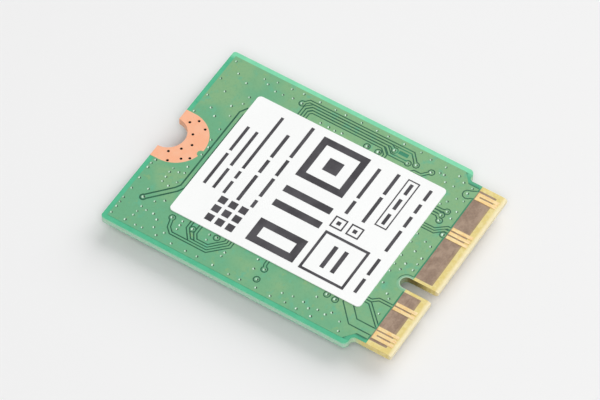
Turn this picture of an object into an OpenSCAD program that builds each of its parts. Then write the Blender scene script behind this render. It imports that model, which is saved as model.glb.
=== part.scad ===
// Small wireless card for a laptop, lying label side up on its shielded parts.
// X runs across the card and Y along it: the screw half hole is at +Y and the
// edge connector at -Y. Z is up, and the shield lid rests on Z = 0.
// The origin is the centre of the footprint, on the surface the card lies on.

/* [Card] */
// Width of the card
card_w = 22; // [21.5:0.1:24]
// Length of the card
card_l = 30; // [30:0.5:36]
// Thickness of the finished board
card_t = 0.8; // [0.7:0.05:1]
// Corner radius at the screw end
end_corner_r = 0.3; // [0.1:0.05:0.6]
// Corner radius of the shoulders beside the tongue
shoulder_r = 0.5; // [0.2:0.05:0.6]
// Fillet radius where the tongue meets the shoulders
tongue_fillet_r = 0.4; // [0.2:0.05:0.5]
// Thickness of outer copper with its solder mask, each side
skin_t = 0.05; // [0.04:0.01:0.08]
// How far the copper stays back from the card edge
copper_margin = 0.45; // [0.3:0.05:0.6]

/* [Screw end] */
// Radius of the half hole for the screw
screw_r = 1.75; // [1.5:0.05:1.9]
// Radius of the bare copper pad round the half hole
ring_r = 3; // [2.8:0.1:3.4]
// How far the pad's arc is centred from the card end
ring_drop = 0.9; // [0.6:0.1:1.2]
// Radius of the vias in the pad
ring_via_r = 0.14; // [0.08:0.01:0.16]

/* [Edge connector] */
// Width of the tongue
tongue_w = 19.85; // [19.6:0.05:20]
// Length of the tongue
tongue_l = 4; // [3.8:0.1:4.2]
// Width of the key notch
key_w = 1.2; // [1:0.05:1.4]
// Depth of the key notch
key_l = 3.5; // [3.2:0.1:3.7]
// Distance between neighbouring contacts on one side
contact_pitch = 0.5; // [0.48:0.01:0.52]
// Width of one contact
contact_w = 0.35; // [0.25:0.01:0.4]
// Where the contacts begin, from the tongue's tip
contact_start = 0.36; // [0.3:0.02:0.5]
// Where the contacts end, from the tongue's tip
contact_end = 2.5; // [2:0.1:2.5]
// Length of the bevel on the tongue's tip
bevel_l = 0.25; // [0.1:0.05:0.3]
// Depth of the bevel on the tongue's tip
bevel_t = 0.14; // [0.05:0.01:0.2]

/* [Label] */
// Width of the label
label_w = 15; // [13:0.5:16]
// Bare board between the label and the tongue's tip
label_tip_gap = 5; // [4.6:0.1:6]
// Bare board between the label and the screw end
label_end_gap = 4.8; // [4.5:0.1:6]
// Thickness of the label
label_t = 0.1; // [0.06:0.01:0.15]
// Corner radius of the label
label_corner_r = 0.4; // [0.2:0.1:1]
// Thickness of the print on the label
print_t = 0.02; // [0.01:0.01:0.03]

/* [Shield] */
// Height of everything on the parts side, lid included
parts_h = 1.5; // [1.4:0.05:1.8]
// Free board beside the shield
shield_side_gap = 1.1; // [0.95:0.05:1.5]
// Free board between the shield and the shoulders
shield_tongue_gap = 1.1; // [1:0.1:1.5]
// Free board between the shield and the screw end
shield_end_gap = 4.7; // [4.3:0.1:5]
// Sheet thickness of the lid
lid_t = 0.13; // [0.1:0.01:0.18]
// Sheet thickness of the frame
frame_t = 0.2; // [0.12:0.01:0.22]
// Gap between the lid's skirt and the frame
lid_fit = 0.03; // [0.01:0.01:0.06]
// Outer radius of the lid's folded edges
lid_fold_r = 0.28; // [0.22:0.02:0.4]
// Height of the lid's skirt
skirt_h = 0.8; // [0.6:0.05:1]

/* [Parts] */
// Side of the square radio chip
radio_w = 9; // [7.5:0.5:10.5]
// Height of the radio chip
radio_h = 0.85; // [0.7:0.05:0.9]
// Width of one lead on the radio chip
radio_lead_w = 0.22; // [0.15:0.01:0.28]
// Side of the front end modules
front_end_w = 3; // [2.4:0.1:3.2]
// Height of the power inductors
inductor_h = 1; // [0.7:0.05:1]
// Outer radius of the antenna receptacle's ring
receptacle_r = 0.75; // [0.7:0.01:0.8]
// Height of the antenna receptacle
receptacle_h = 0.6; // [0.55:0.05:0.8]

/* [Hidden] */

// Cutters reach this far past what they cut
over = 0.5;
// Segments of the arcs of the outline, of small dots and of the smallest
arc_fn = 48;
dot_fn = 10;
via_fn = 8;

y_end = card_l / 2;
y_tip = -card_l / 2;
y_shoulder = y_tip + tongue_l;
z_top = parts_h + card_t;
z_core_low = parts_h + skin_t;
z_core_high = z_top - skin_t;

// The outer skin is half plain mask and half copper under mask
pour_t = skin_t / 2;
mask_t = skin_t - pour_t;

// Inner ground planes lie flush in the faces of the laminate
plane_t = 0.05;
plane_margin = 0.5;
plane_tip_gap = 0.8;
key_gap = 0.32;
key_copper_gap = 0.3;
screw_gap = 0.4;

// The key notch sits between two contact places
key_x = -2.625;
key_round_y = y_tip + key_l - key_w / 2;
first_contact_x = -9.25;
mask_end_y = y_tip + contact_end + 0.08;
pour_end_y = mask_end_y + 0.13;

// Vias in the bare pad, and a bite in its edge for a covered via, from its
// centre and for a pad of radius 3
ring_y = y_end - ring_drop;
ring_bite = [-0.5, -2.95];
ring_bite_r = 0.36;
ring_vias = [
  [-2.7, -0.8], [-1.8, -0.3], [-0.95, -1.15], [-1.9, -1.75], [-1.45, -2.4],
  [-0.1, -1.75], [0.95, -1.15], [2, -1.8], [2.5, -0.8], [1.95, -0.15]
];

// The label sits a little to the +X side of the middle
label_x = 0.35;
label_l = card_l - label_tip_gap - label_end_gap;
label_y = (label_tip_gap - label_end_gap) / 2;
z_label = z_top + label_t;
// The print keeps its place on a label of another size
print_kx = label_w / 15;
print_ky = label_l / 20.2;

// Traces on the label side. Those beside the label have X from the nearest side
// of the card, the RF trace has Y from the screw end and the rest Y from the tip
rf_trace = [[-7.25, -2.1], [-4.95, -4.2], [-4.4, -4.5], [5.3, -4.5], [6, -4.9]];
left_traces = [
  [[3.25, 9.4], [2.25, 9.1], [1.78, 8.6], [1.78, 4.85], [3.3, 3.3], [4.4, 3.3]],
  [[4.4, 7.6], [3.05, 7.6], [2.05, 6.8], [2.05, 4.95], [3.42, 3.58], [4.4, 3.58]],
  [[4.4, 6.7], [2.9, 6.7], [2.32, 6.3], [2.32, 5.05], [3.54, 3.86], [4.4, 3.86]],
  [[2.9, -0.65], [3.4, -0.45], [4.4, -0.45]]
];
right_traces = [
  [[-3.6, 5.35], [-2.4, 5.35], [-2.13, 5.05], [-2.13, -2.5], [-2.7, -3.1], [-3.6, -3.1]],
  [[-3.6, 5.65], [-2.2, 5.65], [-1.83, 5.25], [-1.83, -2.75], [-2.45, -3.4], [-2.45, -5.35]],
  [[-3.6, 5.95], [-2.05, 5.95], [-1.53, 5.4], [-1.53, -3.05], [-1.85, -3.6]],
  [[-1.8, 6.4], [-1.23, 5.9], [-1.23, -5.2], [-2.25, -6.1]],
  [[-3.6, -5.7], [-2.95, -6.3], [-2.95, -7], [-2.2, -7.7]]
];
tip_traces = [
  [[-8, 2.6], [-6.15, 4.5], [-6.15, 5.4]],
  [[-5.42, 2.6], [-5.42, 4], [-5.85, 4.5], [-5.85, 5.4]],
  [[4, 2.6], [4, 3], [3.36, 3.75], [3.36, 5.4]],
  [[4.38, 2.6], [4.38, 2.9], [3.62, 3.85], [3.62, 5.4]],
  [[4.65, 3.95], [5.1, 4.45], [5.1, 5.4]],
  [[5.25, 4.1], [5.42, 4.5], [5.42, 5.4]],
  [[5.85, 3.85], [5.75, 4.3], [5.75, 5.4]]
];
supply_trace = [[-8.62, 2.6], [-8.62, 4.75], [-7.1, 6.2], [-6.6, 6.2]];
supply_stub = [[8.95, 2.3], [8.45, 3.28]];
left_via_pads = [
  [3.25, 9.4], [3.15, 7.15], [3.5, 4.8], [1.65, -0.65], [2.9, -0.65], [3.6, -6.8], [3.5, -7.7]
];
right_via_pads = [
  [-1.8, 6.4], [-2.8, -1.2], [-2.8, -2.4], [-1.85, -3.6], [-2.45, -5.35], [-2.25, -6.1],
  [-2.2, -7.7]
];
tip_via_pads = [[4.65, 3.95], [5.25, 4.1], [5.85, 3.85], [3.5, 2.85]];
trace_w = 0.16;
trace_gap = 0.12;
rf_w = 0.3;
rf_gap = 0.17;
rf_end_lip = 0.06;
supply_w = 0.7;
supply_pad_r = 0.42;
pad_r = 0.25;

// The shield follows the card
shield_w = card_w - 2 * shield_side_gap;
shield_l = card_l - tongue_l - shield_tongue_gap - shield_end_gap;
shield_y = (tongue_l + shield_tongue_gap - shield_end_gap) / 2;
shield_y0 = shield_y - shield_l / 2;

// The parts share the room that the radio chip leaves inside the shield's walls:
// columns beside it, rows before it and after it
shield_wall = lid_t + lid_fit + frame_t;
column_k = (shield_w - 2 * shield_wall - radio_w) / 10.08;
row_k = (shield_l - 2 * shield_wall - radio_w) / 10.48;
across_k = shield_w / 19.8;
along_k = shield_l / 20.2;
radio_spot = [-0.5 * column_k, shield_y0 + shield_wall + 2.44 * row_k + radio_w / 2];
radio_side_x = radio_w / 2;
radio_y1 = radio_spot[1] + radio_w / 2;
left_column_x = -shield_w / 2 + shield_wall + 1.94 * column_k;
right_column_x = shield_w / 2 - shield_wall - 2.14 * column_k;
left_inner_x = radio_spot[0] - radio_side_x - 0.9 * column_k;
right_inner_x = radio_spot[0] + radio_side_x + 1.2 * column_k;
rib_y = radio_y1 + 1.5 * row_k;
radio_leads_side = 16;
standoff = 0.08;
lead_l = 0.4;
memory_w = 2 * column_k;
memory_l = 3 * along_k;
regulator_w = 2.2 * column_k;
regulator_l = 2.2 * along_k;
front_end_l = front_end_w * row_k;
crystal_case_h = 0.35;
resistor_h = 0.25;
crystal_spot = [left_column_x, shield_y + 0.4 * along_k];
memory_spot = [left_column_x, shield_y - 5.4 * along_k];
regulator_spot = [right_column_x, shield_y - 2.5 * along_k];
inductor_spots = [for (y = [-8.1, -5.4]) [right_column_x, shield_y + y * along_k]];
front_end_spots = [for (x = [-5.2, 5.2]) [x * across_k, radio_y1 + 4.3 * row_k]];
filter_spots = [
  for (spot = [[-8, 4.3], [8, 4.3], [-5.2, 7.1], [5.2, 7.1], [-2.2, 5], [2.2, 5]])
    [spot[0] * across_k, radio_y1 + spot[1] * row_k]
];
receptacle_x = card_w / 2 - 2.3;
receptacle_y = y_end - 2;
match_x = card_w / 2 - 4.7;
large_row_y = shield_y0 + shield_wall + 1.24 * row_k;
large_row_spots = [for (i = [-3:4]) [(1.2 * i - 0.9) * across_k, large_row_y]];
large_column_spots = [for (i = [0:5]) [right_inner_x, shield_y + (1.4 * i - 6.6) * along_k]];
small_column_spots = [for (i = [0:6]) [left_inner_x, shield_y + (1.3 * i - 6.4) * along_k]];
small_row_spots = [
  for (i = [0:6]) [(1.3 * i - 4.3) * across_k, radio_y1 + 0.7 * row_k],
  for (x = [-2.2, 2.2]) [x * across_k, radio_y1 + 3 * row_k]
];
outer_spots = [
  for (s = [-1, 1]) [s * match_x, y_end - 2.6],
  for (x = [-7.4, -4.8, 1.6, 3.8, 6.8]) [x, y_shoulder + shield_tongue_gap / 2 - 0.45]
];
left_resistor_spots = [
  for (y = [-8.5, -7.7, -2.7, -1.9]) [left_column_x, shield_y + y * along_k]
];
right_resistor_spots = [
  for (y = [-0.4, 0.5, 1.4]) [right_column_x, shield_y + y * along_k]
];
antenna_resistor_spots = [for (x = [-3.4, 3.4]) [x * across_k, radio_y1 + 7.3 * row_k]];

// Helpers

function contact_x(pin) = first_contact_x + (pin - 1) * contact_pitch / 2;

function heading(path, i) = (path[i + 1] - path[i]) / norm(path[i + 1] - path[i]);

function mitre(a, b, side) =
  let (m = [-(a[1] + b[1]), a[0] + b[0]])
  m * side / (m * [-a[1], a[0]]);

function path_side(path, side) = [
  for (i = [0:len(path) - 1])
    path[i] + mitre(heading(path, max(i - 1, 0)), heading(path, min(i, len(path) - 2)), side)
];

function backwards(list) = [for (i = [len(list) - 1:-1:0]) list[i]];

// Moves a path or spot list to the card's side, stretched along with the label
function beside(points, s) = [
  for (p = points) [s * card_w / 2 + p[0], p[1] * print_ky]
];

module strip(path, width) {
  polygon(concat(path_side(path, width / 2), backwards(path_side(path, -width / 2))));
}

module slab(z, t) {
  translate([0, 0, z])
    linear_extrude(t)
      children();
}

module block(w, l, h) {
  translate([-w / 2, -l / 2, 0])
    cube([w, l, h]);
}

module rounded_rect(w, l, r) {
  square([w - 2 * r, l], center = true);
  square([w, l - 2 * r], center = true);
  for (sx = [-1, 1])
    for (sy = [-1, 1])
      translate([sx * (w / 2 - r), sy * (l / 2 - r)])
        circle(r, $fn = arc_fn);
}

// Stands a part on the parts side, where up for the part is down for the card
module on_parts_side(spot) {
  translate([spot[0], spot[1], parts_h])
    mirror([0, 0, 1])
      children();
}

// Outlines

module key_outline(gap) {
  translate([key_x - key_w / 2 - gap, y_tip - over])
    square([key_w + 2 * gap, key_round_y - y_tip + over]);
  translate([key_x, key_round_y])
    circle(key_w / 2 + gap, $fn = arc_fn);
}

module screw_outline(gap) {
  translate([0, y_end])
    circle(screw_r + gap, $fn = arc_fn);
}

// Square corner with a quarter circle taken out, for a rounded outer corner
module corner_cut(x, y, sx, sy, r) {
  difference() {
    translate([sx > 0 ? x - r : x - over, sy > 0 ? y - r : y - over])
      square(r + over);
    translate([x - sx * r, y - sy * r])
      circle(r, $fn = arc_fn);
  }
}

module card_outline() {
  difference() {
    union() {
      translate([-card_w / 2, y_shoulder])
        square([card_w, card_l - tongue_l]);
      translate([-tongue_w / 2, y_tip])
        square([tongue_w, tongue_l + over]);
      for (s = [-1, 1])
        tongue_fillet(s);
    }
    for (s = [-1, 1]) {
      corner_cut(s * card_w / 2, y_end, s, 1, end_corner_r);
      corner_cut(s * card_w / 2, y_shoulder, s, -1, shoulder_r);
    }
    screw_outline(0);
    key_outline(0);
  }
}

module tongue_fillet(s) {
  r = tongue_fillet_r;
  difference() {
    translate([s > 0 ? tongue_w / 2 - over : -tongue_w / 2 - r, y_shoulder - r])
      square([r + over, r + over]);
    translate([s * (tongue_w / 2 + r), y_shoulder - r])
      circle(r, $fn = arc_fn);
  }
}

module ring_area() {
  difference() {
    union() {
      translate([0, ring_y])
        circle(ring_r, $fn = arc_fn);
      translate([-ring_r, ring_y])
        square([2 * ring_r, ring_drop + over]);
    }
    translate([0, ring_y] + ring_bite * ring_r / 3)
      circle(ring_bite_r, $fn = dot_fn);
  }
}

module ring_outline() {
  difference() {
    ring_area();
    translate([-ring_r - over, y_end])
      square([2 * ring_r + 2 * over, ring_r]);
    screw_outline(0);
  }
}

module ring_via_dots() {
  for (spot = ring_vias)
    translate([0, ring_y] + spot * ring_r / 3)
      circle(ring_via_r, $fn = via_fn);
}

module plane_outline() {
  side_x = card_w / 2 - plane_margin;
  tongue_x = tongue_w / 2 - plane_margin;
  difference() {
    polygon([
      [-side_x, y_end - plane_margin], [-side_x, y_shoulder + plane_margin],
      [-tongue_x, y_shoulder + plane_margin], [-tongue_x, y_tip + plane_tip_gap],
      [tongue_x, y_tip + plane_tip_gap], [tongue_x, y_shoulder + plane_margin],
      [side_x, y_shoulder + plane_margin], [side_x, y_end - plane_margin]
    ]);
    key_outline(key_gap);
    screw_outline(screw_gap);
    ring_via_dots();
  }
}

module mask_outline() {
  difference() {
    card_outline();
    translate([-card_w, y_tip - over])
      square([2 * card_w, mask_end_y - y_tip + over]);
    ring_area();
  }
}

module pour_outline() {
  side_x = card_w / 2 - copper_margin;
  tongue_x = tongue_w / 2 - copper_margin;
  difference() {
    polygon([
      [-side_x, y_end - copper_margin], [-side_x, y_shoulder + 0.7],
      [-tongue_x, y_shoulder - 0.2], [-tongue_x, pour_end_y],
      [tongue_x, pour_end_y], [tongue_x, y_shoulder - 0.2],
      [side_x, y_shoulder + 0.7], [side_x, y_end - copper_margin]
    ]);
    key_outline(key_copper_gap);
    ring_area();
  }
}

// Board and its skins

module circuit_board() {
  color([0.93, 0.87, 0.62])
    difference() {
      slab(z_core_low, z_core_high - z_core_low)
        difference() {
          card_outline();
          ring_via_dots();
        }
      slab(z_core_high - plane_t, plane_t + over)
        plane_outline();
      slab(z_core_low - over, plane_t + over)
        plane_outline();
      tip_bevel(z_core_high, 1);
      tip_bevel(z_core_low, -1);
    }
}

module tip_bevel(z, s) {
  rotate([90, 0, 90])
    translate([0, 0, -card_w / 2])
      linear_extrude(card_w)
        polygon([
          [y_tip - bevel_l, z + s * bevel_t], [y_tip - bevel_l, z - s * 2 * bevel_t],
          [y_tip + bevel_l, z], [y_tip + bevel_l, z + s * bevel_t]
        ]);
}

module ground_plane_label_side() {
  color([0.62, 0.53, 0.47])
    slab(z_core_high - plane_t, plane_t)
      plane_outline();
}

module ground_plane_parts_side() {
  color([0.62, 0.53, 0.47])
    slab(z_core_low, plane_t)
      plane_outline();
}

module solder_mask_label_side() {
  color([0.2, 0.6, 0.42])
    slab(z_core_high, mask_t)
      mask_outline();
}

module solder_mask_parts_side() {
  color([0.45, 0.68, 0.5])
    slab(parts_h, skin_t)
      mask_outline();
}

// Copper under its coat of mask: the pour with the traces and via pads that
// lie in it, each behind a narrow gap
module copper_pour_label_side() {
  color([0.5, 0.72, 0.54])
    slab(z_core_high + mask_t, pour_t) {
      difference() {
        pour_outline();
        routes(trace_gap, rf_gap);
        translate([card_w / 2 - 2, -5 * print_ky])
          square([0.4, print_ky]);
      }
      routes(0, 0);
    }
}

module routes(gap, wide_gap) {
  side_routes(left_traces, left_via_pads, -1, gap);
  side_routes(right_traces, right_via_pads, 1, gap);
  translate([0, y_end]) {
    strip(rf_trace, rf_w + 2 * wide_gap);
    dots([rf_trace[0]], rf_w / 2 + rf_end_lip + wide_gap);
  }
  intersection() {
    translate([0, y_tip]) {
      for (path = tip_traces)
        strip(path, trace_w + 2 * gap);
      dots(tip_via_pads, pad_r + gap);
      strip(supply_trace, supply_w + 2 * gap);
      strip(supply_stub, supply_w + 2 * gap);
      dots([supply_stub[1]], supply_pad_r + gap);
    }
    translate([-card_w / 2, mask_end_y])
      square([card_w, card_l]);
  }
}

module side_routes(traces, pads, s, gap) {
  for (path = traces)
    strip(beside(path, s), trace_w + 2 * gap);
  dots(beside(pads, s), pad_r + gap);
}

module dots(spots, r) {
  for (spot = spots)
    translate(spot)
      circle(r, $fn = dot_fn);
}

module screw_pad(z) {
  color([0.98, 0.7, 0.55])
    slab(z, skin_t)
      difference() {
        ring_outline();
        ring_via_dots();
      }
}

module screw_pad_label_side() {
  screw_pad(z_core_high);
}

module screw_pad_parts_side() {
  screw_pad(parts_h);
}

module screw_pad_vias() {
  color([0.2, 0.08, 0.04])
    slab(parts_h + 0.02, card_t - 0.04)
      ring_via_dots();
}

// Edge contacts

module contact(pin) {
  translate([contact_x(pin) - contact_w / 2, y_tip + contact_start])
    square([contact_w, contact_end - contact_start]);
}

// Joins two neighbouring contacts of one side by a bar at one end
module contact_bar(pin, y) {
  translate([contact_x(pin), y])
    square([contact_pitch, 0.3]);
}

module contacts_high(pins) {
  color([0.95, 0.82, 0.5])
    slab(z_core_high, skin_t)
      for (pin = pins)
        contact(pin);
}

module contacts_low(pins) {
  color([0.95, 0.82, 0.5])
    slab(parts_h, skin_t)
      for (pin = pins)
        contact(pin);
}

module power_contacts_label_side() {
  color([0.95, 0.82, 0.5])
    slab(z_core_high, skin_t) {
      for (pin = [2, 4, 72, 74])
        contact(pin);
      contact_bar(2, y_tip + contact_end - 0.3);
      contact_bar(72, y_tip + contact_end - 0.3);
      contact_bar(72, y_tip + contact_start);
    }
}

module signal_contacts_label_side() {
  contacts_high([6, 16, 52, 54, 56]);
}

module ground_contact_label_side() {
  contacts_high([18]);
}

module ground_contacts_parts_side() {
  contacts_low([1, 7, 33, 39, 45, 51, 57, 63, 69, 75]);
}

module usb_contacts_parts_side() {
  contacts_low([3, 5]);
}

module bus_contacts_parts_side() {
  contacts_low([35, 37, 41, 43, 47, 49]);
}

module sideband_contacts_parts_side() {
  contacts_low([53, 55]);
}

// Label

module label() {
  color([0.97, 0.97, 0.98])
    slab(z_top, label_t)
      translate([label_x, label_y])
        rounded_rect(label_w, label_l, label_corner_r);
}

// The print is measured from the middle of a label of 15 by 20.2
module bar(x, y, w, l) {
  translate([x * print_kx, y * print_ky])
    square([w * print_kx, l * print_ky], center = true);
}

module box_frame(x, y, w, l, line) {
  difference() {
    bar(x, y, w, l);
    bar(x, y, w - 2 * line, l - 2 * line);
  }
}

// A line of short bars, where each word is its start and its length
module word_row(y, h, words) {
  for (w = words)
    bar(w[0] + w[1] / 2, y, w[1], h);
}

module label_print() {
  color([0.27, 0.26, 0.28])
    slab(z_label, print_t)
      translate([label_x, label_y]) {
        fine_print();
        bold_print();
      }
}

module fine_print() {
  word_row(8.95, 0.3, [[-3.45, 3.9], [0.85, 3.1]]);
  word_row(7.95, 0.3, [[-3.45, 2.5], [-0.55, 4.4]]);
  word_row(6.85, 0.3, [[-3.45, 1.5], [-1.55, 0.9], [-0.25, 6.7]]);
  word_row(5.35, 0.34, [[-3.45, 3.2], [0.15, 1.6], [2.15, 2.9]]);
  word_row(3.85, 0.34, [[-3.45, 0.9], [-2.05, 2.3], [0.65, 2], [3.05, 3.9]]);
  word_row(-3.7, 0.34, [[0.45, 1.6], [2.45, 3.8]]);
  word_row(-5.5, 0.34, [[0.45, 3.2], [4.05, 2.6]]);
  word_row(-8.9, 0.32, [[-6.35, 1.7], [-4.15, 2], [-1.15, 2.6], [1.95, 1.3], [3.75, 1.1], [5.35, 1.3]]);
  for (y = [-3.75, -5.45]) {
    box_frame(-0.8, y, 1.3, 1.3, 0.14);
    bar(-0.8, y, 0.4, 0.4);
  }
  box_frame(3.75, -7.1, 5.9, 1.25, 0.12);
  for (x = [1.85, 3.75, 5.65])
    bar(x, -7.1, 1.3, 0.34);
}

module bold_print() {
  for (row = [0, 1, 2])
    for (col = [0, 1, 2])
      bar(-6.35 + col * 1.1, 4.25 + row * 1.1, 0.75, 0.75);
  box_frame(-5.25, 0, 2.7, 5, 0.75);
  bar(-1.85, 0, 0.75, 5);
  bar(-0.05, 0, 0.75, 5);
  box_frame(4.2, 0, 5, 5, 0.7);
  bar(4.2, 0, 1.5, 1.5);
  box_frame(-4.35, -5.5, 4.7, 4.7, 0.26);
  bar(-4.35, -4.95, 2.6, 0.42);
  bar(-4.35, -6.05, 2.6, 0.42);
}

// Shield

// Quarter round fold along a side of the given length, its skirt included
module lid_side(length, out) {
  r = lid_fold_r;
  translate([out - r, 0, r])
    rotate([90, 0, 0])
      translate([0, 0, -length / 2])
        linear_extrude(length)
          intersection() {
            difference() {
              circle(r, $fn = arc_fn);
              circle(r - lid_t, $fn = arc_fn);
            }
            translate([0, -r])
              square(r);
          }
  difference() {
    translate([out - lid_t, -length / 2, r])
      cube([lid_t, length, skirt_h - r]);
    for (y = [-length / 4, length / 4])
      translate([out - lid_t - over, y - 0.15, skirt_h - 0.3])
        cube([lid_t + 2 * over, 0.3, over]);
  }
}

module shield_lid() {
  corner_gap = lid_fold_r + 0.1;
  color([0.78, 0.79, 0.8])
    translate([0, shield_y, 0]) {
      block(shield_w - 2 * lid_fold_r, shield_l - 2 * lid_fold_r, lid_t);
      for (a = [0, 180])
        rotate([0, 0, a])
          lid_side(shield_l - 2 * corner_gap, shield_w / 2);
      for (a = [90, 270])
        rotate([0, 0, a])
          lid_side(shield_w - 2 * corner_gap, shield_l / 2);
    }
}

module shield_frame() {
  w = shield_w - 2 * (shield_wall - frame_t);
  l = shield_l - 2 * (shield_wall - frame_t);
  // The corners clear the lid's folds, so the frame stands on the flat of the lid
  foot = lid_fold_r - lid_t - lid_fit;
  rib = rib_y - shield_y;
  color([0.7, 0.71, 0.72])
    translate([0, shield_y, 0])
      difference() {
        union() {
          translate([0, 0, lid_t + foot])
            block(w, l, parts_h - lid_t - foot);
          translate([0, 0, lid_t])
            block(w - 2 * foot, l - 2 * foot, foot + over / 5);
        }
        // Room for the parts
        translate([0, 0, lid_t + frame_t])
          block(w - 2 * frame_t, l - 2 * frame_t, parts_h);
        // Windows either side of the cross rib
        window_cut(-l / 2 + 0.9, rib - 0.5 * row_k, w - 1.8);
        window_cut(rib + 0.5 * row_k, l / 2 - 0.9, w - 1.8);
        // Arches along the foot of the walls
        for (i = [-3.5:3.5]) {
          translate([-w / 2 - over, (2.4 * i - 0.5) * along_k, parts_h - 0.3])
            cube([w + 2 * over, along_k, over]);
          translate([(2.4 * i - 0.5) * across_k, -l / 2 - over, parts_h - 0.3])
            cube([across_k, l + 2 * over, over]);
        }
      }
}

module window_cut(y0, y1, w) {
  translate([-w / 2, y0, lid_t - over])
    cube([w, y1 - y0, parts_h]);
}

// Parts under the shield

module chip_body(w, l, h) {
  translate([0, 0, standoff])
    block(w, l, h - standoff);
}

// Leads along the two sides of a chip that face X
module lead_rows(w, count, pitch, lead_w) {
  for (s = [-1, 1])
    for (i = [0:count - 1])
      translate([s * (w / 2 - lead_l / 2), (i - (count - 1) / 2) * pitch, 0])
        block(lead_l, lead_w, standoff);
}

module radio_chip() {
  color([0.13, 0.13, 0.14])
    on_parts_side(radio_spot)
      chip_body(radio_w, radio_w, radio_h);
}

module radio_chip_leads() {
  color([0.78, 0.76, 0.7])
    on_parts_side(radio_spot) {
      for (a = [0, 90])
        rotate([0, 0, a])
          lead_rows(radio_w, radio_leads_side, radio_w / 18, radio_lead_w);
      block(radio_w - 3, radio_w - 3, standoff);
    }
}

module thermal_pad() {
  color([0.72, 0.62, 0.66])
    translate([radio_spot[0], radio_spot[1], lid_t])
      block(radio_w - 2, radio_w - 2, parts_h - radio_h - lid_t);
}

module crystal_case() {
  color([0.86, 0.84, 0.78])
    on_parts_side(crystal_spot)
      block(2 * column_k, 2.5 * along_k, crystal_case_h);
}

module crystal_lid() {
  color([0.82, 0.8, 0.74])
    on_parts_side(crystal_spot)
      translate([0, 0, crystal_case_h])
        block(1.7 * column_k, 2.2 * along_k, 0.15);
}

module memory_chip() {
  color([0.15, 0.15, 0.16])
    on_parts_side(memory_spot)
      chip_body(memory_w, memory_l, 0.6);
}

module regulator_chip() {
  color([0.14, 0.14, 0.15])
    on_parts_side(regulator_spot)
      chip_body(regulator_w, regulator_l, 0.7);
}

module small_chip_leads() {
  color([0.78, 0.76, 0.7]) {
    on_parts_side(memory_spot)
      lead_rows(memory_w, 4, memory_l / 4.6, memory_l / 10);
    on_parts_side(regulator_spot)
      lead_rows(regulator_w, 4, regulator_l / 4.4, regulator_l / 9);
  }
}

// A part with a metal cap at each end, along X. The caps stand a little proud
module capped_body(l, w, h) {
  block(l / 2, w * 0.94, h * 0.97);
}

module end_caps(l, w, h) {
  for (s = [-1, 1])
    translate([s * l * 3 / 8, 0, 0])
      block(l / 4, w, h);
}

module power_inductors() {
  color([0.3, 0.3, 0.31])
    for (spot = inductor_spots)
      on_parts_side(spot)
        capped_body(2.5 * column_k, 2 * along_k, inductor_h);
}

module power_inductor_ends() {
  color([0.8, 0.8, 0.8])
    for (spot = inductor_spots)
      on_parts_side(spot)
        end_caps(2.5 * column_k, 2 * along_k, inductor_h);
}

module front_end_modules() {
  color([0.16, 0.16, 0.17])
    for (spot = front_end_spots)
      on_parts_side(spot)
        chip_body(front_end_w, front_end_l, 0.6);
}

module front_end_leads() {
  color([0.78, 0.76, 0.7])
    for (spot = front_end_spots)
      on_parts_side(spot) {
        lead_rows(front_end_w, 4, front_end_l / 6, front_end_l / 12);
        rotate([0, 0, 90])
          lead_rows(front_end_l, 4, front_end_w / 6, front_end_w / 12);
      }
}

module antenna_filters() {
  color([0.88, 0.9, 0.93])
    for (spot = filter_spots)
      on_parts_side(spot)
        rotate([0, 0, 90])
          capped_body(1.6 * row_k, 0.8 * across_k, 0.6);
}

module antenna_filter_ends() {
  color([0.8, 0.8, 0.8])
    for (spot = filter_spots)
      on_parts_side(spot)
        rotate([0, 0, 90])
          end_caps(1.6 * row_k, 0.8 * across_k, 0.6);
}

// Every capacitor, in its place: small ones and large ones
module each_capacitor() {
  for (spot = large_row_spots)
    on_parts_side(spot)
      rotate([0, 0, 90])
        let ($l = row_k, $w = 0.5 * across_k, $h = 0.5)
          children();
  for (spot = large_column_spots)
    on_parts_side(spot)
      let ($l = column_k, $w = 0.5 * along_k, $h = 0.5)
        children();
  for (spot = small_column_spots)
    on_parts_side(spot)
      rotate([0, 0, 90])
        let ($l = 0.6 * along_k, $w = 0.3 * column_k, $h = 0.3)
          children();
  for (spot = small_row_spots)
    on_parts_side(spot)
      let ($l = 0.6 * across_k, $w = 0.3 * row_k, $h = 0.3)
        children();
  for (spot = outer_spots)
    on_parts_side(spot)
      let ($l = 0.6, $w = 0.3, $h = 0.3)
        children();
}

module capacitors() {
  color([0.68, 0.56, 0.42])
    each_capacitor()
      capped_body($l, $w, $h);
}

module capacitor_ends() {
  color([0.8, 0.8, 0.8])
    each_capacitor()
      end_caps($l, $w, $h);
}

module each_resistor() {
  for (spot = concat(left_resistor_spots, right_resistor_spots))
    on_parts_side(spot)
      let ($l = 0.6 * column_k, $w = 0.3 * along_k)
        children();
  for (spot = antenna_resistor_spots)
    on_parts_side(spot)
      rotate([0, 0, 90])
        let ($l = 0.6 * row_k, $w = 0.3 * across_k)
          children();
  for (s = [-1, 1])
    on_parts_side([s * match_x, y_end - 1.6])
      let ($l = 0.6, $w = 0.3)
        children();
}

module resistors() {
  color([0.12, 0.12, 0.13])
    each_resistor()
      capped_body($l, $w, resistor_h);
}

module resistor_ends() {
  color([0.8, 0.8, 0.8])
    each_resistor()
      end_caps($l, $w, resistor_h);
}

// Antenna receptacles

rec_base_w = 1.6;
rec_base_h = 0.22;
rec_foil = 0.08;
rec_pin_r = 0.14;

module receptacle_base(s) {
  color([0.2, 0.2, 0.21])
    on_parts_side([s * receptacle_x, receptacle_y])
      difference() {
        block(rec_base_w, rec_base_w, rec_base_h);
        translate([0, 0, -over])
          cylinder(r = rec_pin_r, h = 2 * over, $fn = dot_fn);
        translate([-0.15, -rec_base_w, -over])
          cube([0.3, rec_base_w, over + rec_foil]);
      }
}

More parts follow.
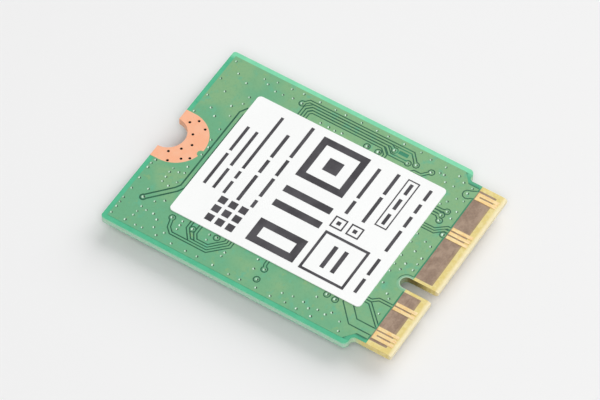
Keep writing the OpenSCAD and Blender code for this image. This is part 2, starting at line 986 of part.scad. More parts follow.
module receptacle_shell(s) {
  out = rec_base_w / 2 + rec_foil;
  color([0.93, 0.8, 0.5])
    on_parts_side([s * receptacle_x, receptacle_y]) {
      translate([0, 0, rec_base_h])
        difference() {
          cylinder(r = receptacle_r, h = receptacle_h - rec_base_h, $fn = arc_fn);
          translate([0, 0, -over])
            cylinder(r = receptacle_r - 0.12, h = 3 * over, $fn = arc_fn);
        }
      for (a = [0, 180])
        rotate([0, 0, a]) {
          translate([rec_base_w / 2, -0.4, 0])
            cube([rec_foil, 0.8, rec_base_h + rec_foil]);
          translate([receptacle_r - 0.06, -0.4, rec_base_h])
            cube([out - receptacle_r + 0.06, 0.8, rec_foil]);
        }
    }
}

module receptacle_pin(s) {
  color([0.93, 0.8, 0.5])
    on_parts_side([s * receptacle_x, receptacle_y]) {
      cylinder(r = rec_pin_r, h = receptacle_h - 0.1, $fn = dot_fn);
      translate([-0.15, -rec_base_w / 2 - rec_foil, 0])
        cube([0.3, rec_base_w / 2 + rec_foil, rec_foil]);
    }
}

module left_receptacle_base() {
  receptacle_base(-1);
}

module left_receptacle_shell() {
  receptacle_shell(-1);
}

module left_receptacle_pin() {
  receptacle_pin(-1);
}

module right_receptacle_base() {
  receptacle_base(1);
}

module right_receptacle_shell() {
  receptacle_shell(1);
}

module right_receptacle_pin() {
  receptacle_pin(1);
}

circuit_board();
ground_plane_label_side();
ground_plane_parts_side();
solder_mask_label_side();
solder_mask_parts_side();
copper_pour_label_side();
screw_pad_label_side();
screw_pad_parts_side();
screw_pad_vias();
power_contacts_label_side();
signal_contacts_label_side();
ground_contact_label_side();
ground_contacts_parts_side();
usb_contacts_parts_side();
bus_contacts_parts_side();
sideband_contacts_parts_side();
label();
label_print();
shield_lid();
shield_frame();
radio_chip();
radio_chip_leads();
thermal_pad();
crystal_case();
crystal_lid();
memory_chip();
regulator_chip();
small_chip_leads();
power_inductors();
power_inductor_ends();
front_end_modules();
front_end_leads();
antenna_filters();
antenna_filter_ends();
capacitors();
capacitor_ends();
resistors();
resistor_ends();
left_receptacle_base();
left_receptacle_shell();
left_receptacle_pin();
right_receptacle_base();
right_receptacle_shell();
right_receptacle_pin();
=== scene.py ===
"""Looks for the small laptop wireless card: materials, tented vias, floor, light and camera.

Places and sizes in materials and vias are in mm of the row frame: X across the card, Y along
it with the screw half hole at +Y and the edge connector at -Y, and Z up. The floor, the lights
and the camera are in metres.
"""
import math
import random

import bpy
from mathutils import Matrix, Vector


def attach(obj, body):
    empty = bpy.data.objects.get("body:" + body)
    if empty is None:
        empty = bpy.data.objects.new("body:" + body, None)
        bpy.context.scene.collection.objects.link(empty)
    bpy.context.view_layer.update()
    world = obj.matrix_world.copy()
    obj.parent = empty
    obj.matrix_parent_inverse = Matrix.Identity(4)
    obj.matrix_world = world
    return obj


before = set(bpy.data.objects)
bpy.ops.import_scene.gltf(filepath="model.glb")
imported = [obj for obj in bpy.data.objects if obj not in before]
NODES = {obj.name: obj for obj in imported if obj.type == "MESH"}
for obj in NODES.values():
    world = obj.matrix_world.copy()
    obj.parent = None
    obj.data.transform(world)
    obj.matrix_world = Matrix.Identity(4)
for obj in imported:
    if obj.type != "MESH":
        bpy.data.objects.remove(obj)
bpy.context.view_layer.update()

MM = 0.001

# Places on the card, as in the part's source
TOP = 2.3                  # label face of the board
UNDER = 1.5                # parts face of the board
END_Y = 15.0               # screw end, on which the half hole is centred
SHOULDER_Y = -11.0         # shoulders beside the tongue
TIP_Y = -15.0              # tip of the tongue
SCREW_R = 1.75             # half hole for the screw
NOTCH_X = -2.625           # centre line of the key notch
NOTCH_R = 0.6              # its half width, and the radius of its round end
NOTCH_ARC_Y = -12.1        # centre of its round end
MARGIN_X = 10.5            # just inside the copper's edge at both sides
MARGIN_Y = 14.5            # just inside the copper's edge at the screw end
MASK_END_Y = -12.2         # last strip of mask before the contacts
WINDOW = (9.2, -4.5)       # clear patch in the copper near the right edge
WINDOW_R = 0.9             # radius of the patch of lighter colour over it

SOFT = 0.06                # width over which the margin's colour comes in
WEAVE_PITCH = 0.42         # threads of the glass cloth
LAYER_TURN = 34.0          # radians per mm of height: cloth layers 0.185 mm apart
NOISE_USUAL = (0.3, 0.7)   # range that a noise seldom leaves
SEED_SHIFT = (1.0, 1.7, 0.6)   # how far each step of a seed moves a noise


def srgb(r, g, b):
    """A colour from 0 to 255, as linear values with alpha."""
    out = []
    for c in (r, g, b):
        c /= 255.0
        out.append(c / 12.92 if c <= 0.04045 else ((c + 0.055) / 1.055) ** 2.4)
    return (*out, 1.0)


# ---------------------------------------------------------------- materials

class Finish:
    """A material whose colour, roughness and relief come from textures in the row frame, in mm.

    Keywords set inputs of the Principled shader, with _ for each space in the input's name.
    """

    def __init__(self, name, **shader_inputs):
        self.material = bpy.data.materials.new(name)
        self.material.use_nodes = True
        self.tree = self.material.node_tree
        self.bsdf = self.tree.nodes["Principled BSDF"]
        place = self.node("ShaderNodeTexCoord").outputs["Object"]
        scale = self.node("ShaderNodeVectorMath", {0: place, "Scale": 1 / MM}, operation="SCALE")
        self.mm = scale.outputs[0]
        self.x, self.y, self.z = self.node("ShaderNodeSeparateXYZ", {0: self.mm}).outputs
        self.last_bump = None
        for key, value in shader_inputs.items():
            self.bsdf.inputs[key.replace("_", " ")].default_value = value

    def node(self, kind, inputs=None, **settings):
        made = self.tree.nodes.new(kind)
        for key, value in settings.items():
            setattr(made, key, value)
        for key, value in (inputs or {}).items():
            self.put(made.inputs[key], value)
        return made

    def put(self, socket, value):
        """Links another node's output to the socket, or sets the socket's own value."""
        if isinstance(value, bpy.types.NodeSocket):
            self.tree.links.new(value, socket)
        else:
            socket.default_value = value

    def math(self, operation, a, b=0.0, c=0.0):
        return self.node("ShaderNodeMath", {0: a, 1: b, 2: c}, operation=operation).outputs[0]

    def times(self, a, b):
        return self.math("MULTIPLY", a, b)

    def larger(self, a, b):
        return self.math("MAXIMUM", a, b)

    def distance(self, x, y, from_y=None):
        """Distance from (x, y), seen from above; from_y stands in for the place's own y."""
        across = self.math("POWER", self.math("SUBTRACT", self.x, x), 2.0)
        own_y = self.y if from_y is None else from_y
        along = self.math("POWER", self.math("SUBTRACT", own_y, y), 2.0)
        return self.math("SQRT", self.math("ADD", across, along))

    def fade(self, value, low, high):
        """0 below low, 1 above high, smooth between; low may be the larger."""
        ends = {"Value": value, "From Min": low, "From Max": high}
        return self.node("ShaderNodeMapRange", ends, interpolation_type="SMOOTHSTEP").outputs[0]

    def level(self, noise, low, high):
        """A value that runs from low to high as the noise runs over its usual range."""
        ends = {"Value": noise, "From Min": NOISE_USUAL[0], "From Max": NOISE_USUAL[1],
                "To Min": low, "To Max": high}
        return self.node("ShaderNodeMapRange", ends).outputs[0]

    def noise(self, scale, detail=3.0, rough=0.55, stretch=(1, 1, 1), seed=0.0):
        """Noise of that many features per mm, drawn out along the axes with stretch below 1."""
        shift = [seed * part for part in SEED_SHIFT]
        mapping = self.node("ShaderNodeMapping",
                            {"Vector": self.mm, "Scale": stretch, "Location": shift})
        made = self.node("ShaderNodeTexNoise", {"Vector": mapping.outputs[0], "Scale": scale,
                                                "Detail": detail, "Roughness": rough})
        return made.outputs["Fac"]

    def weave(self):
        """Crossing threads of a glass cloth, from 0 to 1."""
        turn = 2 * math.pi / WEAVE_PITCH
        a = self.math("SINE", self.times(self.x, turn))
        b = self.math("SINE", self.times(self.y, turn))
        return self.math("MULTIPLY_ADD", self.times(a, b), 0.5, 0.5)

    def mix(self, fac, a, b):
        """Colour a where fac is 0 and b where it is 1."""
        fac_input, a_input, b_input, colour_output = 0, 6, 7, 2
        made = self.node("ShaderNodeMix", data_type="RGBA")
        for i, value in ((fac_input, fac), (a_input, a), (b_input, b)):
            self.put(made.inputs[i], value)
        return made.outputs[colour_output]

    def tint(self, tone, colour, fac, share):
        """The tone with that share of the colour in it where fac is 1."""
        return self.mix(self.times(fac, share), tone, colour)

    def relief(self, height, depth_mm, strength):
        """Adds relief of that depth; each call adds to those before it."""
        bump = self.node("ShaderNodeBump", {"Height": height, "Strength": strength,
                                            "Distance": depth_mm * MM})
        if self.last_bump is not None:
            self.put(bump.inputs["Normal"], self.last_bump)
        self.last_bump = bump.outputs[0]
        self.put(self.bsdf.inputs["Normal"], self.last_bump)

    def colour(self, value):
        self.put(self.bsdf.inputs["Base Color"], value)

    def roughness(self, value):
        self.put(self.bsdf.inputs["Roughness"], value)


def mask_over_copper():
    """Mottled green, a little yellower towards +X and the tongue."""
    f = Finish("mask_over_copper", Specular_IOR_Level=0.25, Coat_Weight=0.08, Coat_Roughness=0.25)
    yellower_per_mm, yellower_at_middle = 0.012, 0.04
    across = f.math("MULTIPLY_ADD", f.math("SUBTRACT", f.x, f.y),
                    yellower_per_mm, yellower_at_middle)
    blot = f.math("ADD", f.noise(0.22, detail=2, rough=0.5), across)
    fine = f.noise(5.0, detail=4, rough=0.65, seed=3)
    teal = f.fade(f.noise(0.9, detail=4, rough=0.65, seed=9), 0.52, 0.72)
    olive = f.fade(f.noise(1.3, detail=4, rough=0.65, seed=31), 0.58, 0.74)
    tone = f.mix(f.fade(blot, 0.38, 0.62), srgb(110, 176, 134), srgb(133, 180, 132))
    tone = f.tint(tone, srgb(101, 181, 146), teal, 0.8)
    tone = f.tint(tone, srgb(145, 180, 119), olive, 0.6)
    f.colour(f.tint(tone, srgb(100, 160, 119), f.fade(fine, 0.45, 0.7), 0.3))
    f.roughness(f.level(fine, 0.34, 0.5))
    f.relief(f.noise(1.2, detail=3, rough=0.6, seed=5), depth_mm=0.02, strength=0.35)
    f.relief(fine, depth_mm=0.006, strength=0.4)
    return f.material


def mask_on_laminate():
    """Dark in the gaps between traces, with painted light at the card's margin where light comes
    through, brightest towards +X.
    """
    f = Finish("mask_on_laminate", Specular_IOR_Level=0.4, Coat_Weight=0.15, Coat_Roughness=0.2)
    noise = f.noise(0.8, detail=3, rough=0.6)
    gap = f.mix(f.fade(noise, 0.4, 0.6), srgb(32, 92, 68), srgb(42, 104, 76))
    gap = f.mix(f.fade(f.distance(*WINDOW), WINDOW_R, WINDOW_R - 0.2), gap, srgb(48, 138, 104))
    gap = f.mix(f.fade(f.y, MASK_END_Y, MASK_END_Y - 0.1), gap, srgb(50, 138, 100))

    # Margin without copper: both sides, the screw end, and the corners beside the tongue
    wide = f.math("ABSOLUTE", f.x)
    side = f.fade(wide, MARGIN_X, MARGIN_X + SOFT)
    end = f.fade(f.y, MARGIN_Y, MARGIN_Y + SOFT)
    corner = f.times(f.fade(wide, 9.45, 9.75), f.fade(f.y, -10.3, -10.7))
    margin = f.larger(f.larger(side, end), f.times(corner, 0.75))
    # Painted light: the margin is painted bright, as light coming through the board's edge, and
    # brighter towards +X.
    margin_painted_light = f.mix(f.fade(f.x, 10.1, 10.6), srgb(76, 184, 140), srgb(132, 223, 177))
    margin_painted_light = f.tint(margin_painted_light, srgb(98, 199, 154), f.fade(noise, 0.35, 0.65), 0.3)
    tone = f.mix(margin, gap, margin_painted_light)

    # Collar round the key notch: pale at the cut, green further out, dark along its right arc
    away = f.distance(NOTCH_X, NOTCH_ARC_Y, f.larger(f.y, NOTCH_ARC_Y))
    in_collar = f.times(f.fade(away, NOTCH_R + 0.32, NOTCH_R + 0.3),
                        f.fade(f.y, SHOULDER_Y, SHOULDER_Y - 0.1))
    right_arc = f.times(f.fade(away, NOTCH_R + 0.2, NOTCH_R + 0.26), f.fade(f.x, -2.9, -2.4))
    rim = f.mix(f.fade(away, NOTCH_R + 0.14, NOTCH_R + 0.02),
                srgb(126, 182, 142), srgb(176, 206, 176))
    f.colour(f.mix(in_collar, tone, f.mix(right_arc, rim, gap)))
    f.roughness(f.level(noise, 0.26, 0.42))
    f.relief(f.noise(2.5, detail=3, rough=0.6, seed=4), depth_mm=0.012, strength=0.4)
    return f.material


def mask_parts_side():
    """Mottled green with a brighter margin, on the side that the card lies on."""
    f = Finish("mask_parts_side", Specular_IOR_Level=0.5, Coat_Weight=0.25, Coat_Roughness=0.2)
    margin = f.larger(f.fade(f.math("ABSOLUTE", f.x), MARGIN_X - 0.1, MARGIN_X + SOFT),
                      f.fade(f.y, MARGIN_Y - 0.08, MARGIN_Y + SOFT))
    noise = f.noise(0.4, detail=3, rough=0.5, seed=2)
    tone = f.mix(f.fade(noise, 0.4, 0.6), srgb(108, 176, 134), srgb(128, 178, 132))
    f.colour(f.mix(margin, tone, srgb(84, 196, 146)))
    f.roughness(f.level(noise, 0.26, 0.42))
    f.relief(f.noise(3, detail=4, rough=0.6, seed=6), depth_mm=0.012, strength=0.4)
    return f.material


def laminate():
    """Yellow resin and glass at the tongue, and the cut walls of the rest of the board."""
    f = Finish("laminate", Specular_IOR_Level=0.4, Subsurface_Weight=0.15,
               Subsurface_Radius=(0.0006, 0.0005, 0.0003), Subsurface_Scale=0.6)
    weave = f.weave()
    noise = f.noise(2.0, detail=4, rough=0.6)
    normal = f.node("ShaderNodeNewGeometry").outputs["Normal"]
    facing_up = f.math("ABSOLUTE", f.node("ShaderNodeSeparateXYZ", {0: normal}).outputs["Z"])
    wall = f.fade(facing_up, 0.6, 0.3)

    # Tongue: paler at the tip, with painted shade on the walls deep in the key notch
    yellow = f.mix(f.fade(noise, 0.4, 0.65), srgb(230, 209, 131), srgb(238, 222, 156))
    yellow = f.tint(yellow, srgb(220, 198, 118), weave, 0.25)
    yellow = f.tint(yellow, srgb(246, 236, 206), f.fade(f.y, -14.55, TIP_Y), 0.7)
    off_notch = f.math("ABSOLUTE", f.math("SUBTRACT", f.x, NOTCH_X))
    # Painted shade on the notch's walls, darker deeper in the notch.
    notch_painted_shade = f.times(f.fade(off_notch, NOTCH_R + 0.06, NOTCH_R + 0.02), wall)
    yellow = f.mix(f.times(notch_painted_shade, f.fade(f.y, -14.6, -12.6)), yellow, srgb(128, 116, 66))

    # Cut walls: pale green cloth layers, a band of painted light under the mask, copper in the
    # half hole
    layers = f.math("SINE", f.times(f.z, LAYER_TURN))
    cut = f.mix(f.fade(f.noise(6, detail=3, rough=0.6, seed=8), 0.4, 0.6),
                srgb(164, 214, 187), srgb(188, 219, 196))
    cut = f.tint(cut, srgb(202, 216, 184), f.fade(layers, 0.2, 0.9), 0.3)
    # Painted light: a bright mint band at the top of the cut walls, under the mask.
    cut = f.mix(f.fade(f.z, TOP - 0.35, TOP - 0.1), cut, srgb(136, 222, 177))
    cut = f.mix(f.fade(f.distance(0.0, END_Y), SCREW_R + 0.25, SCREW_R + 0.1),
                cut, srgb(250, 186, 150))

    f.colour(f.mix(f.times(wall, f.fade(f.y, -12.2, -10.8)), yellow, cut))
    f.roughness(f.level(noise, 0.42, 0.62))
    f.relief(weave, depth_mm=0.01, strength=0.5)
    f.relief(f.noise(9, detail=4, rough=0.7, seed=12), depth_mm=0.012, strength=0.5)
    return f.material


def inner_copper():
    """Brown copper under resin, with the cloth in it and a yellower rim towards the tip."""
    f = Finish("inner_copper", Specular_IOR_Level=0.3, Coat_Weight=0.05)
    weave = f.weave()
    noise = f.noise(1.2, detail=4, rough=0.65)
    streak = f.noise(2.2, detail=3, rough=0.6, stretch=(0.25, 2.6, 1), seed=5)
    tone = f.mix(f.fade(noise, 0.38, 0.64), srgb(144, 121, 104), srgb(170, 146, 127))
    tone = f.tint(tone, srgb(136, 110, 92), f.fade(streak, 0.5, 0.7), 0.6)
    tone = f.tint(tone, srgb(174, 150, 124), weave, 0.2)
    f.colour(f.tint(tone, srgb(184, 160, 112), f.fade(f.y, -13.9, -14.2), 0.35))
    f.roughness(f.level(noise, 0.38, 0.55))
    f.relief(weave, depth_mm=0.008, strength=0.5)
    f.relief(f.noise(8, detail=4, rough=0.7, seed=2), depth_mm=0.01, strength=0.4)
    return f.material


def bare_copper():
    """Salmon copper with slight tarnish, round the half hole."""
    f = Finish("bare_copper", Metallic=0.2, Specular_IOR_Level=0.35)
    patch = f.noise(0.8, detail=4, rough=0.6)
    fine = f.noise(9, detail=4, rough=0.7, seed=7)
    tarnish = f.fade(f.noise(2.6, detail=4, rough=0.65, seed=15), 0.66, 0.78)
    tone = f.mix(f.fade(patch, 0.36, 0.64), srgb(255, 192, 156), srgb(255, 185, 146))
    tone = f.tint(tone, srgb(255, 197, 173), f.fade(fine, 0.5, 0.72), 0.5)
    f.colour(f.tint(tone, srgb(214, 140, 104), tarnish, 0.5))
    f.roughness(f.level(fine, 0.42, 0.6))
    f.relief(f.noise(3, detail=4, rough=0.6, seed=1), depth_mm=0.02, strength=0.4)
    f.relief(fine, depth_mm=0.008, strength=0.6)
    return f.material


def gold(name, stretch):
    """Gold with rubbed orange streaks, and a painted glint where the contacts near the tip."""
    f = Finish(name, Metallic=0.35, Specular_IOR_Level=0.7)
    rub = f.noise(7, detail=4, rough=0.7, stretch=stretch)
    patch = f.noise(1.5, detail=3, rough=0.6, seed=4)
    tone = f.mix(f.fade(patch, 0.38, 0.62), srgb(245, 208, 140), srgb(247, 222, 164))
    tone = f.tint(tone, srgb(238, 178, 108), f.fade(rub, 0.5, 0.7), 0.55)
    # Painted glint: paler streaks where the contacts near the tip.
    tip_painted_glint = f.times(f.fade(f.y, -13.7, -14.6), f.fade(rub, 0.6, 0.42))
    f.colour(f.tint(tone, srgb(252, 232, 200), tip_painted_glint, 0.4))
    f.roughness(f.level(rub, 0.3, 0.5))
    f.relief(rub, depth_mm=0.012, strength=0.6)
    f.relief(patch, depth_mm=0.03, strength=0.5)
    return f.material


def label_paper():
    """White paper with faint fibres."""
    f = Finish("label_paper", Specular_IOR_Level=0.35)
    fibre = f.noise(4.5, detail=5, rough=0.7)
    cloud = f.noise(0.25, detail=2, rough=0.5, seed=6)
    tone = f.mix(f.fade(cloud, 0.35, 0.65), srgb(252, 253, 252), srgb(250, 251, 250))
    f.colour(f.tint(tone, srgb(240, 241, 243), f.fade(fibre, 0.52, 0.75), 0.3))
    f.roughness(f.level(fibre, 0.5, 0.68))
    f.relief(fibre, depth_mm=0.01, strength=0.35)
    f.relief(cloud, depth_mm=0.08, strength=0.3)
    return f.material


def label_ink():
    """Dark grey print with pale specks where the paper shows."""
    f = Finish("label_ink", Specular_IOR_Level=0.3)
    grain = f.noise(9, detail=4, rough=0.75)
    cloud = f.noise(0.5, detail=3, rough=0.5, seed=3)
    tone = f.mix(f.fade(cloud, 0.35, 0.65), srgb(66, 64, 68), srgb(82, 80, 84))
    f.colour(f.tint(tone, srgb(150, 149, 153), f.fade(grain, 0.6, 0.74), 0.4))
    f.roughness(f.level(grain, 0.5, 0.7))
    f.relief(grain, depth_mm=0.008, strength=0.4)
    return f.material


def steel(name, base, high, stretch=(0.08, 1, 1), stain=0.3):
    """Bare metal, cloudy between two tones and grey where stained; its grain runs along X."""
    f = Finish(name, Metallic=1.0)
    grain = f.noise(7, detail=4, rough=0.7, stretch=stretch)
    cloud = f.noise(0.3, detail=3, rough=0.55, seed=5)
    stained = f.fade(f.noise(1.1, detail=5, rough=0.7, seed=9), 0.6, 0.75)
    tone = f.mix(f.fade(cloud, 0.36, 0.64), base, high)
    f.colour(f.tint(tone, srgb(150, 150, 150), stained, stain))
    f.roughness(f.level(grain, 0.26, 0.42))
    f.relief(grain, depth_mm=0.006, strength=0.5)
    f.relief(cloud, depth_mm=0.03, strength=0.3)
    return f.material


def resin(name, base, high):
    """Dull moulded or fired body, cloudy between two tones."""
    f = Finish(name, Specular_IOR_Level=0.4)
    grain = f.noise(12, detail=4, rough=0.7)
    cloud = f.noise(0.9, detail=3, rough=0.6, seed=2)
    f.colour(f.mix(f.fade(cloud, 0.38, 0.62), base, high))
    f.roughness(f.level(grain, 0.45, 0.65))
    f.relief(grain, depth_mm=0.008, strength=0.6)
    return f.material


def via_dark():
    """Open vias in the bare copper, painted near-black: painted shade inside the holes."""
    f = Finish("via_dark", Specular_IOR_Level=0.2)
    f.colour(f.mix(f.noise(20, detail=2, rough=0.5), srgb(8, 3, 2), srgb(26, 10, 6)))
    f.roughness(f.level(f.noise(15, detail=2, rough=0.5, seed=3), 0.6, 0.85))
    return f.material


POUR = mask_over_copper()
GOLD = gold("contact_gold", stretch=(1, 0.12, 1))
RINGS = gold("receptacle_gold", stretch=(1, 1, 1))
TIN = steel("tinned_ends", srgb(206, 206, 204), srgb(226, 226, 224), stretch=(1, 1, 1), stain=0.5)
CHIP = resin("chip_resin", srgb(34, 34, 37), srgb(46, 46, 49))
COPPER = bare_copper()
PLANE = inner_copper()

FINISHES = {
    "circuit_board": laminate(),
    "ground_plane_label_side": PLANE,
    "ground_plane_parts_side": PLANE,
    "solder_mask_label_side": mask_on_laminate(),
    "solder_mask_parts_side": mask_parts_side(),
    "copper_pour_label_side": POUR,
    "screw_pad_label_side": COPPER,
    "screw_pad_parts_side": COPPER,
    "screw_pad_vias": via_dark(),
    "power_contacts_label_side": GOLD,
    "signal_contacts_label_side": GOLD,
    "ground_contact_label_side": GOLD,
    "ground_contacts_parts_side": GOLD,
    "usb_contacts_parts_side": GOLD,
    "bus_contacts_parts_side": GOLD,
    "sideband_contacts_parts_side": GOLD,
    "label": label_paper(),
    "label_print": label_ink(),
    "shield_lid": steel("shield_lid_steel", srgb(196, 198, 201), srgb(212, 214, 216)),
    "shield_frame": steel("shield_frame_steel", srgb(176, 178, 180), srgb(192, 194, 196)),
    "radio_chip": CHIP,
    "radio_chip_leads": TIN,
    "thermal_pad": resin("thermal_pad", srgb(178, 152, 164), srgb(196, 170, 180)),
    "crystal_case": resin("crystal_ceramic", srgb(214, 208, 194), srgb(228, 222, 210)),
    "crystal_lid": steel("crystal_lid", srgb(212, 206, 190), srgb(226, 220, 206)),
    "memory_chip": CHIP,
    "regulator_chip": CHIP,
    "small_chip_leads": TIN,
    "power_inductors": resin("ferrite", srgb(70, 70, 72), srgb(88, 88, 90)),
    "power_inductor_ends": TIN,
    "front_end_modules": CHIP,
    "front_end_leads": TIN,
    "antenna_filters": resin("filter_ceramic", srgb(222, 228, 236), srgb(236, 240, 246)),
    "antenna_filter_ends": TIN,
    "capacitors": resin("capacitor_ceramic", srgb(166, 136, 100), srgb(186, 156, 118)),
    "capacitor_ends": TIN,
    "resistors": resin("resistor_glaze", srgb(28, 28, 30), srgb(40, 40, 43)),
    "resistor_ends": TIN,
    "left_receptacle_base": CHIP,
    "left_receptacle_shell": RINGS,
    "left_receptacle_pin": RINGS,
    "right_receptacle_base": CHIP,
    "right_receptacle_shell": RINGS,
    "right_receptacle_pin": RINGS,
}
for name, material in FINISHES.items():
    NODES[name].data.materials.clear()
    NODES[name].data.materials.append(material)


# ---------------------------------------------------------------- vias under the mask

# Centres read from the photo. The pad vias lie on the copper's round pads and on the
# ends of two traces.
LABEL_SIDE_VIAS = [
    (-10.15, 14.35), (-9.35, 14.35), (-8.8, 14.35), (-8.2, 14.4), (-6.95, 14.35), (-5.65, 14.35),
    (-4.3, 14.35), (-3.7, 14.35), (-3.25, 14.25), (-10.15, 12.9), (-9.35, 12.5), (-8.8, 12.45),
    (-8.2, 12.45), (-10.15, 11.75), (-8.3, 11.8), (-7.1, 11.7), (-10.1, 11.1), (-8.3, 11.05),
    (-6.6, 11.0), (-6.3, 12.95), (-4.9, 12.4), (-4.3, 12.4), (-3.7, 12.4), (-3.15, 12.35),
    (-5.0, 11.65), (-4.3, 11.2), (-3.3, 11.7), (-3.1, 11.2), (-2.35, 11.3), (-8.7, 10.45),
    (-9.5, 10.2), (-10.15, 9.55), (-9.55, 9.1), (-10.15, 7.9), (-8.55, 8.35), (-8.1, 8.35),
    (-7.6, 8.35), (-10.15, 6.4), (-10.15, 5.2), (-8.15, 5.45), (-7.55, 5.55), (-10.15, 3.5),
    (-8.9, 3.35), (-8.45, 3.3), (-10.2, 1.75), (-10.15, 0.6), (-7.5, 0.4), (-8.55, 0.2),
    (-10.15, -1.1), (-10.2, -2.65), (-9.4, -3.4), (-9.2, -4.4), (-10.1, -4.1), (-10.1, -5.3),
    (-9.2, -5.5), (-9.5, -6.2), (-8.1, -6.2), (-10.15, -6.8), (-9.2, -7.0), (-9.3, -7.8),
    (-8.8, -8.2), (-9.25, -9.25), (-10.15, -9.7), (-3.65, -10.3), (-2.3, -10.15), (-1.4, -10.15),
    (-0.3, -10.15), (-1.7, -10.9), (-0.9, -10.95), (-4.5, -11.25), (-4.9, -11.7), (-6.7, -11.8),
    (-1.2, -11.9), (-0.4, -11.9), (3.25, 14.3), (5.4, 14.3), (7.65, 14.3), (10.05, 14.15),
    (4.4, 13.2), (6.6, 13.15), (8.95, 13.2), (3.7, 12.4), (8.45, 12.0), (5.5, 11.75),
    (1.3, 11.2), (2.7, 11.15), (4.5, 11.25), (6.25, 10.95), (7.2, 10.85), (9.7, 10.85),
    (9.4, 10.2), (9.05, 9.2), (10.05, 9.6), (9.05, 8.4), (10.05, 8.05), (9.2, 7.4),
    (10.2, 6.8), (10.2, 5.05), (8.2, 3.75), (8.2, 2.9), (8.15, 2.2), (8.25, 1.5),
    (10.2, 3.4), (10.2, 2.3), (10.2, 0.6), (10.2, -1.1), (10.2, -2.3), (10.2, -4.0),
    (10.2, -5.75), (10.0, -6.95), (10.0, -8.55), (9.15, -8.4), (9.15, -8.85), (8.55, -9.35),
    (8.55, -10.2), (9.8, -10.1), (9.4, -10.75), (6.8, -10.6), (6.3, -10.2), (7.5, -11.15),
    (2.0, -11.2), (1.8, -11.9), (0.65, -11.0), (0.3, -11.9), (5.4, -11.85), (6.3, -11.9),
    (7.6, -11.85), (9.2, -11.75), (1.35, -10.15), (2.4, -10.15), (-0.55, 10.98), (0.5, 10.95),
]
PAD_VIAS = [
    (-7.75, 9.4), (-7.85, 7.15), (-7.5, 4.8), (-9.35, -0.65), (-8.1, -0.65), (-7.4, -6.8),
    (-7.5, -7.7), (9.2, 6.4), (8.2, -1.2), (8.2, -2.4), (9.15, -3.6), (8.55, -5.35),
    (8.75, -6.1), (8.8, -7.7), (4.65, -11.05), (5.25, -10.9), (5.85, -11.15), (3.5, -12.15),
    (-7.25, 12.9), (8.5, -11.7),
]


def parts_side_vias():
    """Rows along the screw end, down both sides and before the tongue."""
    spots = []
    for i in range(14):
        x = 1.45 * i - 9.4
        if abs(x) > 3.4:                    # clear of the screw pad
            spots += [(x, 14.2), (x, 11.2)]
    for side in (-1, 1):
        spots += [(side * 10.35, 1.9 * i - 8.0) for i in range(11)]
    for i in range(17):
        x = 1.1 * i - 8.8
        if abs(x - NOTCH_X) > 1.3:          # clear of the key notch
            spots.append((x, -11.75 + 0.3 * (i % 2)))
    return spots


VIA_TURNS = 16             # corners round a via
VIA_LIFT = 0.0005          # above the mask, so that no two faces coincide
# Share of the radius and height of each ring of a via, from its foot to its cup
VIA_PROFILE = [(1.0, 0.0), (0.85, 0.018), (0.62, 0.02), (0.3, 0.008)]
VIA_MIDDLE = 0.002         # height at its centre
# Each pit gets a painted highlight on this side and painted shade on the opposite side.
HIGHLIGHT_SIDE = math.atan2(0.88, -0.47)   # direction of each pit's side that the photo shows bright


def via_finish(name, base):
    """Mask over a plated hole, with a painted highlight set by the mesh colour's red and painted
    shade set by its green.
    """
    f = Finish(name, Specular_IOR_Level=0.5, Coat_Weight=0.4, Coat_Roughness=0.15)
    painted_via_light = f.node("ShaderNodeAttribute", attribute_name="painted_via_light").outputs["Color"]
    parts = f.node("ShaderNodeSeparateColor", {0: painted_via_light}).outputs
    fine = f.noise(9, detail=3, rough=0.6)
    tone = f.mix(f.fade(fine, 0.4, 0.65), base, srgb(100, 166, 124))
    # Painted highlight on each via's bright side and painted shade on its dark side.
    tone = f.mix(parts["Red"], tone, f.mix(fine, srgb(236, 255, 240), srgb(214, 246, 224)))
    f.colour(f.mix(parts["Green"], tone, srgb(18, 52, 34)))
    f.roughness(f.level(fine, 0.22, 0.36))
    f.relief(fine, depth_mm=0.004, strength=0.4)
    return f.material


def painted_via_light_colour(ring, side, painted_highlight, painted_shade):
    """How much painted highlight and painted shade a corner has; side runs from 1 at the
    highlighted side to -1.
    """
    in_pit = ring >= 2 or (ring == 1 and abs(side) > 0.55)
    return (painted_highlight * (side > -0.05), painted_shade * (side < -0.3), 0, 1) if in_pit else (0, 0, 0, 1)


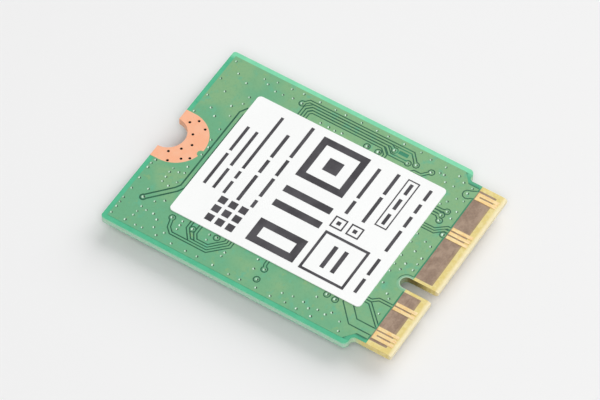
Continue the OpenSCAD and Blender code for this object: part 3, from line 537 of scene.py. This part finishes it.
def via_mesh(name, spots, z, up, radius, material):
    """Small raised rings with a cup inside, where the mask closes over a plated hole.

    The rings stand on height z and rise towards +Z where up is 1, or -Z where it is -1.
    """
    random.seed(11)
    verts, faces, painted_via_lights = [], [], []
    for x, y in spots:
        r = radius * random.uniform(0.88, 1.12)
        x += random.uniform(-0.03, 0.03)
        y += random.uniform(-0.03, 0.03)
        # How strong each via's painted highlight and painted shade are, and the side the
        # highlight leans to.
        painted_highlight = random.uniform(0.4, 1.0)
        painted_shade = random.uniform(0.75, 1.0)
        lean = HIGHLIGHT_SIDE + random.uniform(-0.35, 0.35)
        first = len(verts)
        rings = [[first + k * VIA_TURNS + i for i in range(VIA_TURNS)]
                 for k in range(len(VIA_PROFILE))]
        middle = first + len(VIA_PROFILE) * VIA_TURNS
        for k, (share, height) in enumerate(VIA_PROFILE):
            for i in range(VIA_TURNS):
                a = 2 * math.pi * i / VIA_TURNS
                verts.append(((x + r * share * math.cos(a)) * MM,
                              (y + r * share * math.sin(a)) * MM,
                              (z + up * (height + VIA_LIFT)) * MM))
                painted_via_lights.append(painted_via_light_colour(k, math.cos(a - lean), painted_highlight, painted_shade))
        verts.append((x * MM, y * MM, (z + up * VIA_MIDDLE) * MM))
        painted_via_lights.append((painted_highlight, 0, 0, 1))
        via = [[outer[i], outer[i + 1 - VIA_TURNS], inner[i + 1 - VIA_TURNS], inner[i]]
               for outer, inner in zip(rings, rings[1:]) for i in range(VIA_TURNS)]
        via += [[rings[-1][i], rings[-1][i + 1 - VIA_TURNS], middle] for i in range(VIA_TURNS)]
        via.append(rings[0][::-1])
        faces += via if up > 0 else [face[::-1] for face in via]
    mesh = bpy.data.meshes.new(name)
    mesh.from_pydata(verts, [], faces)
    mesh.shade_smooth()
    mesh.materials.append(material)
    colours = mesh.color_attributes.new("painted_via_light", "FLOAT_COLOR", "POINT")
    for spot, painted_via_light in zip(colours.data, painted_via_lights):
        spot.color = painted_via_light
    made = bpy.data.objects.new(name, mesh)
    bpy.context.scene.collection.objects.link(made)
    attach(made, "root")
    return made


VIA = via_finish("tented_via", srgb(124, 182, 138))
via_mesh("tented_vias", LABEL_SIDE_VIAS, TOP, 1, 0.142, VIA)
via_mesh("pad_vias", PAD_VIAS, TOP, 1, 0.172, VIA)
via_mesh("parts_side_vias", parts_side_vias(), UNDER, -1, 0.16, VIA)


# ---------------------------------------------------------------- floor, light and camera

FLOOR_HALF = 3.0           # half the floor's side
WORLD_STRENGTH = 0.32      # white from all round

# Camera solved from the photo's board corners, half hole and contacts
SENSOR_MM = 36.0
LENS_MM = 224.3
CAMERA_PLACE = (-0.16201, -0.10736, 0.27624)
CAMERA_RIGHT = (0.53867, -0.84240, -0.01392)
CAMERA_BACK = (-0.48188, -0.32161, 0.81508)


def floor():
    mesh = bpy.data.meshes.new("floor")
    s = FLOOR_HALF
    mesh.from_pydata([(-s, -s, 0), (s, -s, 0), (s, s, 0), (-s, s, 0)], [], [(0, 1, 2, 3)])
    f = Finish("floor_white", Specular_IOR_Level=0.1)
    cloud = f.noise(0.02, detail=2, rough=0.5)
    f.colour(f.mix(cloud, srgb(243, 243, 243), srgb(241, 241, 241)))
    f.roughness(f.level(f.noise(0.3, detail=2, rough=0.5), 0.7, 0.8))
    mesh.materials.append(f.material)
    made = bpy.data.objects.new("floor", mesh)
    bpy.context.scene.collection.objects.link(made)


def area_light(name, place, size, power):
    """A square light of that size in metres and power in watts, aimed at the origin."""
    data = bpy.data.lights.new(name, "AREA")
    data.shape = "SQUARE"
    data.size = size
    data.energy = power
    made = bpy.data.objects.new(name, data)
    made.location = place
    made.rotation_mode = "QUATERNION"
    made.rotation_quaternion = (-Vector(place)).to_track_quat("-Z", "Y")
    bpy.context.scene.collection.objects.link(made)


floor()
area_light("key", place=(0.65, -0.17, 0.56), size=0.87, power=5.48)
area_light("fill", place=(-0.45, -0.3, 0.74), size=0.5, power=3.7)

world = bpy.data.worlds.new("studio")
bpy.context.scene.world = world
world.use_nodes = True
background = world.node_tree.nodes["Background"]
background.inputs["Color"].default_value = (1, 1, 1, 1)
background.inputs["Strength"].default_value = WORLD_STRENGTH
bpy.context.scene.view_settings.view_transform = "Standard"

camera = bpy.data.objects.new("camera", bpy.data.cameras.new("camera"))
bpy.context.scene.collection.objects.link(camera)
camera.data.sensor_width = SENSOR_MM
camera.data.lens = LENS_MM
camera.data.clip_start = 0.01
camera.data.clip_end = 10.0
right = Vector(CAMERA_RIGHT).normalized()
back = Vector(CAMERA_BACK).normalized()
right = (right - back * right.dot(back)).normalized()
above = back.cross(right)
turn = Matrix((right, above, back)).transposed()
camera.matrix_world = Matrix.Translation(CAMERA_PLACE) @ turn.to_4x4()
bpy.context.scene.camera = camera
